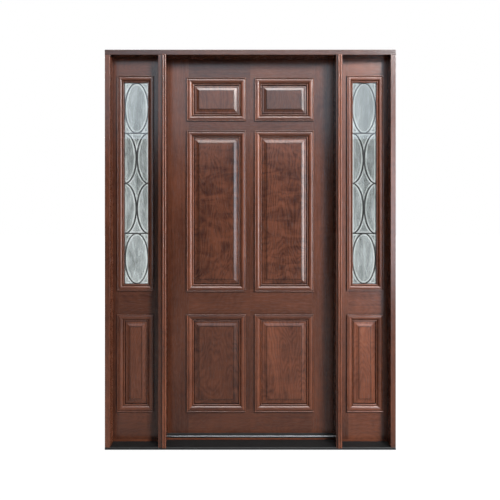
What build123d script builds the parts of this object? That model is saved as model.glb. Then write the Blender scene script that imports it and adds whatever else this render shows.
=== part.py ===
from build123d import *
from math import cos, radians, sin
import os

# Entry door unit in solid wood: a six-panel door that swings inwards between two fixed sidelights.
# The door and the sidelights are stile and rail work with raised panels, which mitred bolection
# mouldings hold on both faces. The upper light of each sidelight is a leaded panel between two panes.
# Millimetres. X runs to the right as seen from outside, Y into the building and Z up. The origin is
# on the underside of the sill, at the middle of the unit's width and of the frame's depth.

# Frame
unit_width = 1524.0
unit_height = 2095.5
frame_depth = 133.0
jamb_thickness = 27.0  # at the front edge, before the rabbet
head_thickness = 27.0
rabbet_depth = 12.0
post_width = 33.0
door_opening_width = 900.0  # between the posts, in front of the rabbets
frame_edge_radius = 1.5
cover_width = 22.0
cover_thickness = 9.0
cover_flange = 5.0  # thickness at the groove between the two beads
left_cover_overhang = 10.0  # past the post's door side
right_cover_setback = 7.0  # back from the post's door side

# Sill and threshold
sill_thickness = 12.0
sill_nose_radius = 4.0
board_height = 10.0
bar_height = 12.0
bar_projection = 13.0  # in front of the door's face
bar_lip = 2.0  # in front of the board that carries it
bar_depth = 36.0
bar_nose_radius = 5.0
inner_rise = 11.0  # of the threshold board behind the bar
threshold_edge_radius = 4.0

# Door leaf and sidelights
leaf_thickness = 44.5
seal_space = 5.0  # between the rabbet's shoulder and the door
door_gap = 5.0
sweep_height = 9.0
sweep_clearance = 0.5
stile_width = 122.0
mid_stile_width = 66.0
bottom_rail_height = 125.5
lower_opening_height = 509.0
lock_rail_height = 143.0
frieze_rail_height = 72.0
upper_opening_height = 215.0
top_rail_height = 114.5
sidelight_setback = 61.0  # from the frame's front
side_stile_width = 44.0
side_bottom_rail_height = 160.5
side_panel_height = 501.5
side_middle_rail_height = 148.0
side_top_rail_height = 116.5
stop_width = 18.0
stop_thickness = 14.0
stop_edge_radius = 4.0

# Raised panels
tongue_thickness = 22.5
groove_depth = 10.0
groove_slack = 2.0
panel_margin = 0.5  # from the moulding to the foot of the raised part
steep_width = 13.0
steep_rise = 6.0
steep_bulge = 0.72
bevel_width = 16.0
bevel_rise = 2.0
field_slope = 1.0
field_step = 2.0

# Bolection mouldings
moulding_lap = 10.0  # over the face of the stile or rail
panel_moulding_width = 38.0
light_moulding_width = 34.0
bead_radius = 3.0
bead_shoulder = 6.5
quirk_width = 1.5
quirk_height = 5.0
roll_crown = 5.5  # how far the roll stands over the line between its ends
roll_foot = 4.0  # below the face
inner_bead_width = 7.0
inner_bead_crown = 2.5

# Leaded lights
pane_thickness = 3.0
pane_spacing = 8.0
pane_clearance = 0.3
came_width = 6.0
came_thickness = 6.0
leaded_glass_thickness = 4.0
light_bays = 4
oval_inset = 2.0
oval_sides = 40  # straight chords that stand for the bent came

# Hinges
hinge_height = 101.6
hinge_leaf_thickness = 2.4
hinge_leaf_depth = 32.0
hinge_leaf_setback = 0.5
knuckle_radius = 7.0
knuckle_count = 5
knuckle_gap = 0.5
knuckle_standoff = 1.0
pin_radius = 3.95
pin_clearance = 0.05
pin_head_radius = 5.2
pin_head_height = 4.0
hinge_from_top = 180.0
hinge_from_bottom = 280.0

# Seals
seal_width = 10.0
seal_clearance = 0.3
seal_end_gap = 0.5
seal_edge_radius = 1.5
sweep_plate = 3.0
sweep_fin = 3.0
sweep_fin_count = 3

# Places worked out from the sizes above
front_y = -frame_depth / 2
back_y = frame_depth / 2
door_front_y = back_y - leaf_thickness
door_middle_y = back_y - leaf_thickness / 2
shoulder_y = door_front_y - seal_space
side_front_y = front_y + sidelight_setback
side_middle_y = side_front_y + leaf_thickness / 2
side_back_y = side_front_y + leaf_thickness
half_width = unit_width / 2
jamb_inner_x = half_width - jamb_thickness
jamb_rabbet_x = jamb_inner_x + rabbet_depth
post_inner_x = door_opening_width / 2
post_rabbet_x = post_inner_x + rabbet_depth
post_outer_x = post_inner_x + post_width
head_soffit_z = unit_height - head_thickness
head_rabbet_z = head_soffit_z + rabbet_depth
board_top_z = sill_thickness + board_height
bar_top_z = board_top_z + bar_height
bar_front_y = door_front_y - bar_projection
bar_back_y = bar_front_y + bar_depth
board_front_y = bar_front_y + bar_lip
door_half = post_rabbet_x - door_gap
door_bottom_z = bar_top_z + sweep_clearance + sweep_height
door_top_z = head_rabbet_z - door_gap
side_width = jamb_rabbet_x - post_outer_x
side_centre_x = (jamb_rabbet_x + post_outer_x) / 2
hinge_x = -(post_rabbet_x + door_half) / 2
hinge_y = back_y + knuckle_standoff + knuckle_radius
hinge_bottom_z = door_bottom_z + hinge_from_bottom
hinge_top_z = door_top_z - hinge_from_top
hinge_heights = [hinge_bottom_z, (hinge_bottom_z + hinge_top_z) / 2, hinge_top_z]


def block(x0, x1, y0, y1, z0, z1, mode=Mode.ADD):
    """A box between two corners, inside the part block that is open."""
    with Locations(((x0 + x1) / 2, (y0 + y1) / 2, (z0 + z1) / 2)):
        Box(x1 - x0, y1 - y0, z1 - z0, mode=mode)


def opening(centre_x, width, bottom_z, height):
    """An opening between stiles and rails: its middle and its size."""
    return {"x": centre_x, "z": bottom_z + height / 2, "width": width, "height": height}


# Openings of the door and of the sidelights, from the bottom up
stile_inner_x = door_half - stile_width
mid_half = mid_stile_width / 2
door_opening_x = (stile_inner_x + mid_half) / 2
lower_z = door_bottom_z + bottom_rail_height
lock_rail_z = lower_z + lower_opening_height
middle_z = lock_rail_z + lock_rail_height
top_rail_z = door_top_z - top_rail_height
upper_z = top_rail_z - upper_opening_height
frieze_z = upper_z - frieze_rail_height
middle_opening_height = frieze_z - middle_z


def door_row(bottom_z, height):
    """The left and the right opening of one row of the door."""
    return [opening(way * door_opening_x, stile_inner_x - mid_half, bottom_z, height) for way in (-1, 1)]


lower_row = door_row(lower_z, lower_opening_height)
middle_row = door_row(middle_z, middle_opening_height)
upper_row = door_row(upper_z, upper_opening_height)
door_openings = lower_row + middle_row + upper_row

side_opening_width = side_width - 2 * side_stile_width
side_panel_z = board_top_z + side_bottom_rail_height
side_middle_rail_z = side_panel_z + side_panel_height
side_light_z = side_middle_rail_z + side_middle_rail_height
side_top_rail_z = head_rabbet_z - side_top_rail_height
side_light_height = side_top_rail_z - side_light_z


# Head: it lies over the jambs and the posts, rabbeted for the door and for the sidelights
with BuildPart() as head_jamb:
    block(-half_width, half_width, front_y, back_y, head_soffit_z, unit_height)
    block(-post_rabbet_x, post_rabbet_x, shoulder_y, back_y, head_soffit_z, head_rabbet_z, Mode.SUBTRACT)
    for x0, x1 in ((-jamb_rabbet_x, -post_outer_x), (post_outer_x, jamb_rabbet_x)):
        block(x0, x1, side_front_y, back_y, head_soffit_z, head_rabbet_z, Mode.SUBTRACT)
    front_edges = head_jamb.edges().filter_by(Axis.X).group_by(Axis.Y)[0]
    fillet(front_edges, frame_edge_radius)

# Side jambs, which stand on the sill
with BuildPart() as right_jamb:
    block(jamb_inner_x, half_width, front_y, side_front_y, sill_thickness, head_soffit_z)
    block(jamb_rabbet_x, half_width, side_front_y, back_y, sill_thickness, head_soffit_z)
    front_edges = right_jamb.edges().filter_by(Axis.Z).group_by(Axis.Y)[0]
    fillet(front_edges, frame_edge_radius)

with BuildPart() as left_jamb:
    add(right_jamb.part.mirror(Plane.YZ))

# Posts between the door and the sidelights, with a rabbet on the door side
with BuildPart() as right_mullion_post:
    block(post_inner_x, post_outer_x, front_y, shoulder_y, sill_thickness, head_soffit_z)
    block(post_rabbet_x, post_outer_x, shoulder_y, back_y, sill_thickness, head_soffit_z)
    front_edges = right_mullion_post.edges().filter_by(Axis.Z).group_by(Axis.Y)[0]
    fillet(front_edges, frame_edge_radius)

# The left post carries the door, and each hinge leaf is let in flush with its rabbet
leaf_back_y = back_y - hinge_leaf_setback
leaf_front_y = leaf_back_y - hinge_leaf_depth
frame_leaf_x = (-post_rabbet_x - hinge_leaf_thickness, -post_rabbet_x)
door_leaf_x = (-door_half, -door_half + hinge_leaf_thickness)
with BuildPart() as left_mullion_post:
    add(right_mullion_post.part.mirror(Plane.YZ))
    for z in hinge_heights:
        block(*frame_leaf_x, leaf_front_y, back_y, z - hinge_height / 2, z + hinge_height / 2, Mode.SUBTRACT)


def mullion_cover(centre_x):
    """A cover strip down the front of a post: two rounded beads with a groove between them."""
    half = cover_width / 2
    with BuildPart() as cover:
        with BuildSketch(Plane(origin=(centre_x, front_y, sill_thickness), z_dir=(0, 0, 1))):
            with BuildLine():
                Polyline((0, -cover_flange), (0, 0), (half, 0), (half, -cover_flange))
                ThreePointArc((half, -cover_flange), (half / 2, -cover_thickness), (0, -cover_flange))
            make_face()
            mirror(about=Plane.YZ)
        extrude(amount=head_soffit_z - sill_thickness)
    return cover


left_mullion_cover = mullion_cover(-post_inner_x + left_cover_overhang - cover_width / 2)
right_mullion_cover = mullion_cover(post_inner_x + right_cover_setback + cover_width / 2)

# Sill: a metal plate under the whole frame, with a rounded nose
with BuildPart() as sill_plate:
    block(-half_width, half_width, front_y, back_y, 0, sill_thickness)
    fillet(sill_plate.edges().filter_by(Axis.X).group_by(Axis.Y)[0].group_by(Axis.Z)[-1], sill_nose_radius)


def clear_of_posts(z0, z1):
    """Notches the open part block round the front of both posts."""
    for x0, x1 in ((-post_rabbet_x, -post_inner_x), (post_inner_x, post_rabbet_x)):
        block(x0, x1, front_y, shoulder_y, z0, z1, Mode.SUBTRACT)


# Wooden threshold: a low board under each sidelight, and one that rises behind the bar of the door
with BuildPart() as threshold_boards:
    with BuildSketch(Plane.YZ.offset(-post_rabbet_x)):
        with BuildLine():
            Polyline(
                (board_front_y, sill_thickness),
                (back_y, sill_thickness),
                (back_y, board_top_z + inner_rise),
                (bar_back_y, board_top_z + inner_rise),
                (bar_back_y, board_top_z),
                (board_front_y, board_top_z),
                close=True,
            )
        make_face()
    extrude(amount=2 * post_rabbet_x)
    inner_edge = threshold_boards.edges().filter_by(Axis.X).group_by(Axis.Y)[-1].group_by(Axis.Z)[-1]
    fillet(inner_edge, threshold_edge_radius)
    clear_of_posts(sill_thickness, board_top_z)
    for x0, x1 in ((-jamb_rabbet_x, -post_outer_x), (post_outer_x, jamb_rabbet_x)):
        block(x0, x1, side_front_y, back_y, sill_thickness, board_top_z)

# Rounded metal bar on the threshold, under the door
with BuildPart() as threshold_bar:
    block(-post_rabbet_x, post_rabbet_x, bar_front_y, bar_back_y, board_top_z, bar_top_z)
    nose_edges = threshold_bar.edges().filter_by(Axis.X).group_by(Axis.Y)[0]
    fillet(nose_edges, bar_nose_radius)
    clear_of_posts(board_top_z, bar_top_z)

# Seals in the rabbet, in front of the door's edges
with BuildPart() as door_seals:
    seal_back_y = door_front_y - seal_clearance
    seal_inner_x = post_rabbet_x - seal_width
    side_seal_top_z = head_rabbet_z - seal_width - seal_end_gap
    for x0, x1 in ((-post_rabbet_x, -seal_inner_x), (seal_inner_x, post_rabbet_x)):
        block(x0, x1, shoulder_y, seal_back_y, bar_top_z, side_seal_top_z)
    block(-post_rabbet_x, post_rabbet_x, shoulder_y, seal_back_y, head_rabbet_z - seal_width, head_rabbet_z)
    long_edges = door_seals.edges().group_by(Axis.Y)[-1].filter_by(lambda edge: edge.length > 2 * seal_width)
    fillet(long_edges, seal_edge_radius)


def butt_hinge_leaves(leaf_x, own_knuckles):
    """Three hinge leaves, each a plate with its share of the knuckles round the pin."""
    pitch = hinge_height / knuckle_count
    with BuildPart() as leaves:
        for z in hinge_heights:
            bottom_z = z - hinge_height / 2
            block(*leaf_x, leaf_front_y, leaf_back_y, bottom_z, bottom_z + hinge_height)
            for n in own_knuckles:
                low_z = bottom_z + n * pitch + knuckle_gap / 2
                high_z = low_z + pitch - knuckle_gap
                block(*leaf_x, leaf_back_y, hinge_y, low_z, high_z)
                with BuildSketch(Plane.XY.offset(low_z)):
                    with Locations((hinge_x, hinge_y)):
                        Circle(knuckle_radius)
                extrude(amount=high_z - low_z)
            with BuildSketch(Plane.XY.offset(bottom_z)):
                with Locations((hinge_x, hinge_y)):
                    Circle(pin_radius + pin_clearance)
            extrude(amount=hinge_height, mode=Mode.SUBTRACT)
    return leaves


hinge_frame_leaves = butt_hinge_leaves(frame_leaf_x, range(0, knuckle_count, 2))
hinge_door_leaves = butt_hinge_leaves(door_leaf_x, range(1, knuckle_count, 2))

with BuildPart() as hinge_pins:
    for z in hinge_heights:
        with BuildSketch(Plane.XY.offset(z)):
            with Locations((hinge_x, hinge_y)):
                Circle(pin_radius)
        extrude(amount=hinge_height / 2, both=True)
        for way in (-1, 1):
            with BuildSketch(Plane.XY.offset(z + way * hinge_height / 2)):
                with Locations((hinge_x, hinge_y)):
                    Circle(pin_head_radius)
            extrude(amount=way * pin_head_height)


def cut_grooves(holes, middle_y):
    """Cuts the panel groove round each opening out of the boards of the open part block."""
    for hole in holes:
        with Locations((hole["x"], middle_y, hole["z"])):
            Box(
                hole["width"] + 2 * groove_depth,
                tongue_thickness,
                hole["height"] + 2 * groove_depth,
                mode=Mode.SUBTRACT,
            )


# Door stiles, with the hinge leaves let into the left one
with BuildPart() as door_hinge_stile:
    block(-door_half, -stile_inner_x, door_front_y, back_y, door_bottom_z, door_top_z)
    cut_grooves(door_openings, door_middle_y)
    for z in hinge_heights:
        block(*door_leaf_x, leaf_front_y, back_y, z - hinge_height / 2, z + hinge_height / 2, Mode.SUBTRACT)

with BuildPart() as door_lock_stile:
    block(stile_inner_x, door_half, door_front_y, back_y, door_bottom_z, door_top_z)
    cut_grooves(door_openings, door_middle_y)


def door_rail(z0, z1):
    """A rail of the door, from stile to stile."""
    with BuildPart() as rail:
        block(-stile_inner_x, stile_inner_x, door_front_y, back_y, z0, z1)
        cut_grooves(door_openings, door_middle_y)
    return rail


door_bottom_rail = door_rail(door_bottom_z, lower_z)
door_lock_rail = door_rail(lock_rail_z, middle_z)
door_frieze_rail = door_rail(frieze_z, upper_z)
door_top_rail = door_rail(top_rail_z, door_top_z)

# Short stiles up the middle of the door, one in each row
with BuildPart() as door_mid_stiles:
    for z0, z1 in ((lower_z, lock_rail_z), (middle_z, frieze_z), (upper_z, top_rail_z)):
        block(-mid_half, mid_half, door_front_y, back_y, z0, z1)
    cut_grooves(door_openings, door_middle_y)


def panel_section(plane, half_span, foot_inset):
    """A raised panel's section on a plane through its middle: tongue, steep edge, bevel and field.

    The span is the opening's. The foot of the raised part lies inside it, at the moulding's edge.
    """
    tongue = tongue_thickness / 2
    tongue_end = half_span + groove_depth - groove_slack
    foot = half_span - foot_inset
    steep = foot - steep_width
    field = steep - bevel_width
    bevel_low = tongue + steep_rise
    bevel_high = bevel_low + bevel_rise
    with BuildSketch(plane) as section:
        with BuildLine():
            Polyline(
                (0, bevel_high + field_step),
                (field, bevel_high + field_step),
                (field + field_slope, bevel_high),
                (steep, bevel_low),
            )
            ThreePointArc(
                (steep, bevel_low),
                (steep + steep_bulge * steep_width, tongue + steep_bulge * steep_rise),
                (foot, tongue),
            )
            Polyline((foot, tongue), (tongue_end, tongue), (tongue_end, 0))
            mirror(about=Plane.XZ)
            mirror(about=Plane.YZ)
        make_face()
    return section.sketch


def raised_panel(hole, middle_y):
    """A panel raised on both faces. Its section along and its section across meet in the mitres."""
    foot_inset = panel_moulding_width - moulding_lap + panel_margin
    reach = groove_depth - groove_slack
    centre = (hole["x"], middle_y, hole["z"])
    across = panel_section(Plane(origin=centre, z_dir=(0, 0, 1)), hole["width"] / 2, foot_inset)
    upright_plane = Plane(origin=centre, x_dir=(0, 0, 1), z_dir=(1, 0, 0))
    upright = panel_section(upright_plane, hole["height"] / 2, foot_inset)
    with BuildPart() as panel:
        extrude(across, amount=hole["height"] / 2 + reach, both=True)
        extrude(upright, amount=hole["width"] / 2 + reach, both=True, mode=Mode.INTERSECT)
    return panel.part


def panel_node(holes, middle_y):
    """The panels of one row, as separate solids of one node."""
    panels = [raised_panel(hole, middle_y) for hole in holes]
    with BuildPart() as node:
        add(panels)
    return node


door_lower_panels = panel_node(lower_row, door_middle_y)
door_middle_panels = panel_node(middle_row, door_middle_y)
door_upper_panels = panel_node(upper_row, door_middle_y)


def moulding_bar(length, width, leg):
    """One mitred length of bolection moulding: a bead, a quirk, a falling roll and an inner bead.

    Its own X runs along the outer edge, Y towards the panel and Z out of the face. The leg goes down
    inside the opening, to the panel's tongue or to the pane.
    """
    bead_end = 2 * bead_radius
    bead_top = (bead_radius, bead_shoulder + bead_radius)
    roll_start = bead_end + quirk_width
    roll_end = width - inner_bead_width
    roll_middle = ((roll_start + roll_end) / 2, (quirk_height - roll_foot) / 2 + roll_crown)
    inner_middle = (width - inner_bead_width / 2, -roll_foot - quirk_width + inner_bead_crown)
    inner_foot = -roll_foot - 2 * quirk_width
    with BuildPart() as bar:
        with BuildSketch(Plane.YZ):
            with BuildLine():
                Line((0, 0), (0, bead_shoulder))
                ThreePointArc((0, bead_shoulder), bead_top, (bead_end, bead_shoulder))
                Polyline((bead_end, bead_shoulder), (bead_end, quirk_height), (roll_start, quirk_height))
                ThreePointArc((roll_start, quirk_height), roll_middle, (roll_end, -roll_foot))
                Line((roll_end, -roll_foot), (roll_end, -roll_foot - quirk_width))
                ThreePointArc((roll_end, -roll_foot - quirk_width), inner_middle, (width, inner_foot))
                Polyline((width, inner_foot), (width, -leg), (moulding_lap, -leg), (moulding_lap, 0), (0, 0))
            make_face()
        extrude(amount=length / 2, both=True)
        with BuildSketch(Plane.XY.offset(-leg)):
            corner = length / 2 - width
            Polygon((-length / 2, 0), (length / 2, 0), (corner, width), (-corner, width), align=None)
        extrude(amount=leg + bead_shoulder + bead_radius, mode=Mode.INTERSECT)
    return bar.part


def moulding_planes(hole, face_y, outward, upright):
    """The planes of the two upright, or of the two cross, lengths round an opening on one face."""
    out = Vector(0, outward, 0)
    inward = Vector(1, 0, 0) if upright else Vector(0, 0, 1)
    reach = (hole["width"] if upright else hole["height"]) / 2 + moulding_lap
    middle = Vector(hole["x"], face_y, hole["z"])
    return [Plane(origin=middle - way * reach, x_dir=way.cross(out), z_dir=out) for way in (inward, -inward)]


def moulding_node(sets, upright):
    """The upright, or the cross, lengths of moulding round openings, as separate solids of one node.

    A set is its openings, its moulding's width and leg, and its faces as (y, outward direction).
    """
    placed = []
    for holes, width, leg, faces in sets:
        for hole in holes:
            length = (hole["height"] if upright else hole["width"]) + 2 * moulding_lap
            planes = [plane for y, way in faces for plane in moulding_planes(hole, y, way, upright)]
            placed.append((moulding_bar(length, width, leg), planes))
    with BuildPart() as node:
        for bar, planes in placed:
            with Locations(*planes):
                add(bar)
    return node


panel_leg = (leaf_thickness - tongue_thickness) / 2
front_sets = [(door_openings, panel_moulding_width, panel_leg, [(door_front_y, -1)])]
back_sets = [(door_openings, panel_moulding_width, panel_leg, [(back_y, 1)])]
door_front_moulding_uprights = moulding_node(front_sets, True)
door_front_moulding_crosses = moulding_node(front_sets, False)
door_back_moulding_uprights = moulding_node(back_sets, True)
door_back_moulding_crosses = moulding_node(back_sets, False)

# Sweep under the door: a plate with soft fins that close the space over the bar
with BuildPart() as door_sweep:
    fin_bottom_z = door_bottom_z - sweep_height
    plate_bottom_z = door_bottom_z - sweep_plate
    block(-door_half, door_half, door_front_y, back_y, plate_bottom_z, door_bottom_z)
    fin_pitch = (leaf_thickness - sweep_fin) / (sweep_fin_count - 1)
    for n in range(sweep_fin_count):
        fin_y = door_front_y + n * fin_pitch
        block(-door_half, door_half, fin_y, fin_y + sweep_fin, fin_bottom_z, plate_bottom_z)


# Leaded lights: the panes hold a panel of small glasses in lead came between them
glass_stack = 2 * pane_thickness + pane_spacing
light_leg = (leaf_thickness - glass_stack) / 2
sight_width = side_opening_width - 2 * (light_moulding_width - moulding_lap)
sight_height = side_light_height - 2 * (light_moulding_width - moulding_lap)
pane_width = side_opening_width - 2 * pane_clearance
pane_height = side_light_height - 2 * pane_clearance


def oval_points(across, high):
    """Points round an ellipse with these half axes, at equal steps of its angle."""
    turns = [radians(360 * n / oval_sides) for n in range(oval_sides)]
    return [(across * cos(turn), high * sin(turn)) for turn in turns]


def came_oval():
    """An oval line of came as high as a bay, round its own middle."""
    across = sight_width / 2 - oval_inset
    high = sight_height / light_bays / 2
    with BuildSketch() as ring:
        Polygon(*oval_points(across + came_width / 2, high + came_width / 2), align=None)
        Polygon(*oval_points(across - came_width / 2, high - came_width / 2), align=None, mode=Mode.SUBTRACT)
    return ring.sketch


def came_pattern():
    """The came lines of a light, with a border that the mouldings hide.

    The end bays hold a whole oval each, and the middle bays two half ovals that touch. A straight
    came closes each end bay.
    """
    bay = sight_height / light_bays
    end_z = (light_bays - 1) * bay / 2
    half_oval_x = sight_width / 2 - oval_inset + came_width / 4
    oval = came_oval()
    with BuildSketch() as pattern:
        Rectangle(pane_width, pane_height)
        Rectangle(sight_width, sight_height, mode=Mode.SUBTRACT)
        with Locations((0, end_z), (0, -end_z)):
            add(oval)
        for n in range(1, light_bays - 1):
            z = n * bay - end_z
            with Locations((half_oval_x, z), (-half_oval_x, z)):
                add(oval)
        with Locations((0, end_z - bay / 2), (0, bay / 2 - end_z)):
            Rectangle(sight_width + came_width, came_width)
        Rectangle(pane_width, pane_height, mode=Mode.INTERSECT)
    return pattern.sketch


def leaded_glasses(cames):
    """What the came lines leave open, which the small glasses fill."""
    with BuildSketch() as glasses:
        Rectangle(sight_width, sight_height)
        add(cames, mode=Mode.SUBTRACT)
    return glasses.sketch


light_cames = came_pattern()
light_glasses = leaded_glasses(light_cames)
light_middle_z = side_light_z + side_light_height / 2
light_planes = [
    Plane(origin=(way * side_centre_x, side_middle_y, light_middle_z), x_dir=(1, 0, 0), z_dir=(0, -1, 0))
    for way in (-1, 1)
]

with BuildPart() as sidelight_cames:
    for plane in light_planes:
        with BuildSketch(plane):
            add(light_cames)
        extrude(amount=came_thickness / 2, both=True)

with BuildPart() as sidelight_leaded_glass:
    for plane in light_planes:
        with BuildSketch(plane):
            add(light_glasses)
        extrude(amount=leaded_glass_thickness / 2, both=True)

with BuildPart() as sidelight_panes:
    for plane in light_planes:
        for way in (-1, 1):
            with BuildSketch(plane.offset(way * pane_spacing / 2)):
                Rectangle(pane_width, pane_height)
            extrude(amount=way * pane_thickness)


def sidelight(side):
    """The woodwork of one sidelight, by name. Side is -1 for the left one and 1 for the right one."""
    centre_x = side * side_centre_x
    panel_hole = opening(centre_x, side_opening_width, side_panel_z, side_panel_height)
    light_hole = opening(centre_x, side_opening_width, side_light_z, side_light_height)
    inner = side_opening_width / 2
    outer = side_width / 2

    with BuildPart() as stiles:
        for x0, x1 in ((-outer, -inner), (inner, outer)):
            block(centre_x + x0, centre_x + x1, side_front_y, side_back_y, board_top_z, head_rabbet_z)
        cut_grooves([panel_hole], side_middle_y)

    rail_spans = [
        (board_top_z, side_panel_z),
        (side_middle_rail_z, side_light_z),
        (side_top_rail_z, head_rabbet_z),
    ]
    with BuildPart() as rails:
        for z0, z1 in rail_spans:
            block(centre_x - inner, centre_x + inner, side_front_y, side_back_y, z0, z1)
        cut_grooves([panel_hole], side_middle_y)

    # The strip that holds the sidelight in its rabbet, on the inner side
    with BuildPart() as stop:
        with BuildSketch(Plane.XZ.offset(-side_back_y)):
            with Locations((centre_x, (board_top_z + head_rabbet_z) / 2)):
                Rectangle(side_width, head_rabbet_z - board_top_z)
                Rectangle(
                    side_width - 2 * stop_width,
                    head_rabbet_z - board_top_z - 2 * stop_width,
                    mode=Mode.SUBTRACT,
                )
        extrude(amount=-stop_thickness)
        back_face = stop.faces().sort_by(Axis.Y)[-1]
        fillet(back_face.inner_wires().edges(), stop_edge_radius)

    faces = [(side_front_y, -1), (side_back_y, 1)]
    sets = [
        ([panel_hole], panel_moulding_width, panel_leg, faces),
        ([light_hole], light_moulding_width, light_leg, faces),
    ]
    return {
        "stiles": stiles,
        "rails": rails,
        "panel": panel_node([panel_hole], side_middle_y),
        "moulding_uprights": moulding_node(sets, True),
        "moulding_crosses": moulding_node(sets, False),
        "stop": stop,
    }


nodes = {
    "head_jamb": head_jamb,
    "left_jamb": left_jamb,
    "right_jamb": right_jamb,
    "left_mullion_post": left_mullion_post,
    "right_mullion_post": right_mullion_post,
    "left_mullion_cover": left_mullion_cover,
    "right_mullion_cover": right_mullion_cover,
    "sill_plate": sill_plate,
    "threshold_boards": threshold_boards,
    "threshold_bar": threshold_bar,
    "door_seals": door_seals,
    "hinge_frame_leaves": hinge_frame_leaves,
    "hinge_pins": hinge_pins,
    "hinge_door_leaves": hinge_door_leaves,
    "door_hinge_stile": door_hinge_stile,
    "door_lock_stile": door_lock_stile,
    "door_bottom_rail": door_bottom_rail,
    "door_lock_rail": door_lock_rail,
    "door_frieze_rail": door_frieze_rail,
    "door_top_rail": door_top_rail,
    "door_mid_stiles": door_mid_stiles,
    "door_lower_panels": door_lower_panels,
    "door_middle_panels": door_middle_panels,
    "door_upper_panels": door_upper_panels,
    "door_front_moulding_uprights": door_front_moulding_uprights,
    "door_front_moulding_crosses": door_front_moulding_crosses,
    "door_back_moulding_uprights": door_back_moulding_uprights,
    "door_back_moulding_crosses": door_back_moulding_crosses,
    "door_sweep": door_sweep,
    "sidelight_cames": sidelight_cames,
    "sidelight_leaded_glass": sidelight_leaded_glass,
    "sidelight_panes": sidelight_panes,
}
for name, side in (("left_sidelight", -1), ("right_sidelight", 1)):
    for piece, node in sidelight(side).items():
        nodes[f"{name}_{piece}"] = node

os.makedirs("parts", exist_ok=True)
for label, node in nodes.items():
    node.part.label = label
    export_step(node.part, f"parts/{label}.step")
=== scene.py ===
import math

import bpy
import numpy as np
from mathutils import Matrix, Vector


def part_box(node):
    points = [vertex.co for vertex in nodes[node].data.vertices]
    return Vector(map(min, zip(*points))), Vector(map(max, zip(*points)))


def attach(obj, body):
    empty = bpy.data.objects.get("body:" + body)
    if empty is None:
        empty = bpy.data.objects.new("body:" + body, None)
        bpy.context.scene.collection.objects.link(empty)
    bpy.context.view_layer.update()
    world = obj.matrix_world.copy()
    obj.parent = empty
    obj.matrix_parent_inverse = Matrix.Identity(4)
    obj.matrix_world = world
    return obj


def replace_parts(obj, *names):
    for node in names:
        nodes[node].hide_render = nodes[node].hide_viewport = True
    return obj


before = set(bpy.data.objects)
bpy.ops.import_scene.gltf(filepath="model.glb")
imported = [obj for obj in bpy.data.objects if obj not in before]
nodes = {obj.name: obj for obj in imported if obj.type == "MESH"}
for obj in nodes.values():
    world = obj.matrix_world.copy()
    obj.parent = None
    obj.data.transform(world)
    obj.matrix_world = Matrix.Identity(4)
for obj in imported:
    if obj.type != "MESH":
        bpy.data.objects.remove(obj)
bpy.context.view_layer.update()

scene = bpy.context.scene
scene.view_settings.view_transform = "Standard"

# Camera
# It stands straight in front of the unit, level, and a little above the door's middle. The frame is
# shifted down so that the whole unit shows with its uprights parallel, as in the photograph.
CAMERA_HEIGHT = 1.309
CAMERA_DISTANCE = 2.385
CAMERA_LENS = 32.8
SHIFT_ACROSS = -0.0006
SHIFT_UP = -0.1004
unit_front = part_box("head_jamb")[0].y

camera_data = bpy.data.cameras.new("camera")
camera_data.lens = CAMERA_LENS
camera_data.shift_x = SHIFT_ACROSS
camera_data.shift_y = SHIFT_UP
camera = bpy.data.objects.new("camera", camera_data)
camera.location = (0, unit_front - CAMERA_DISTANCE, CAMERA_HEIGHT)
camera.rotation_euler = (math.pi / 2, 0, 0)
scene.collection.objects.link(camera)
scene.camera = camera


# Surround and floor
# A white surround, dim only where polish looks back into the studio, and a pale floor of matt paint.
# The floor keeps the soft shadow near the unit and turns white towards the horizon.
FLOOR_REACH = 14.0
FLOOR_COLOR = (0.45, 0.45, 0.45, 1)
FLOOR_GLOW = 1.12
FLOOR_NEAR = 0.9
FLOOR_FAR = 3.2
FLOOR_NEAR_GLOW = 0.84
FLOOR_ROUGHNESS = 0.8
FLOOR_FADE = (-0.5, 0.2)
SURROUND_LIGHT = 0.07
SURROUND_FADE = (-0.35, 0.1)
STUDIO_DEPTH = 0.16


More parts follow.
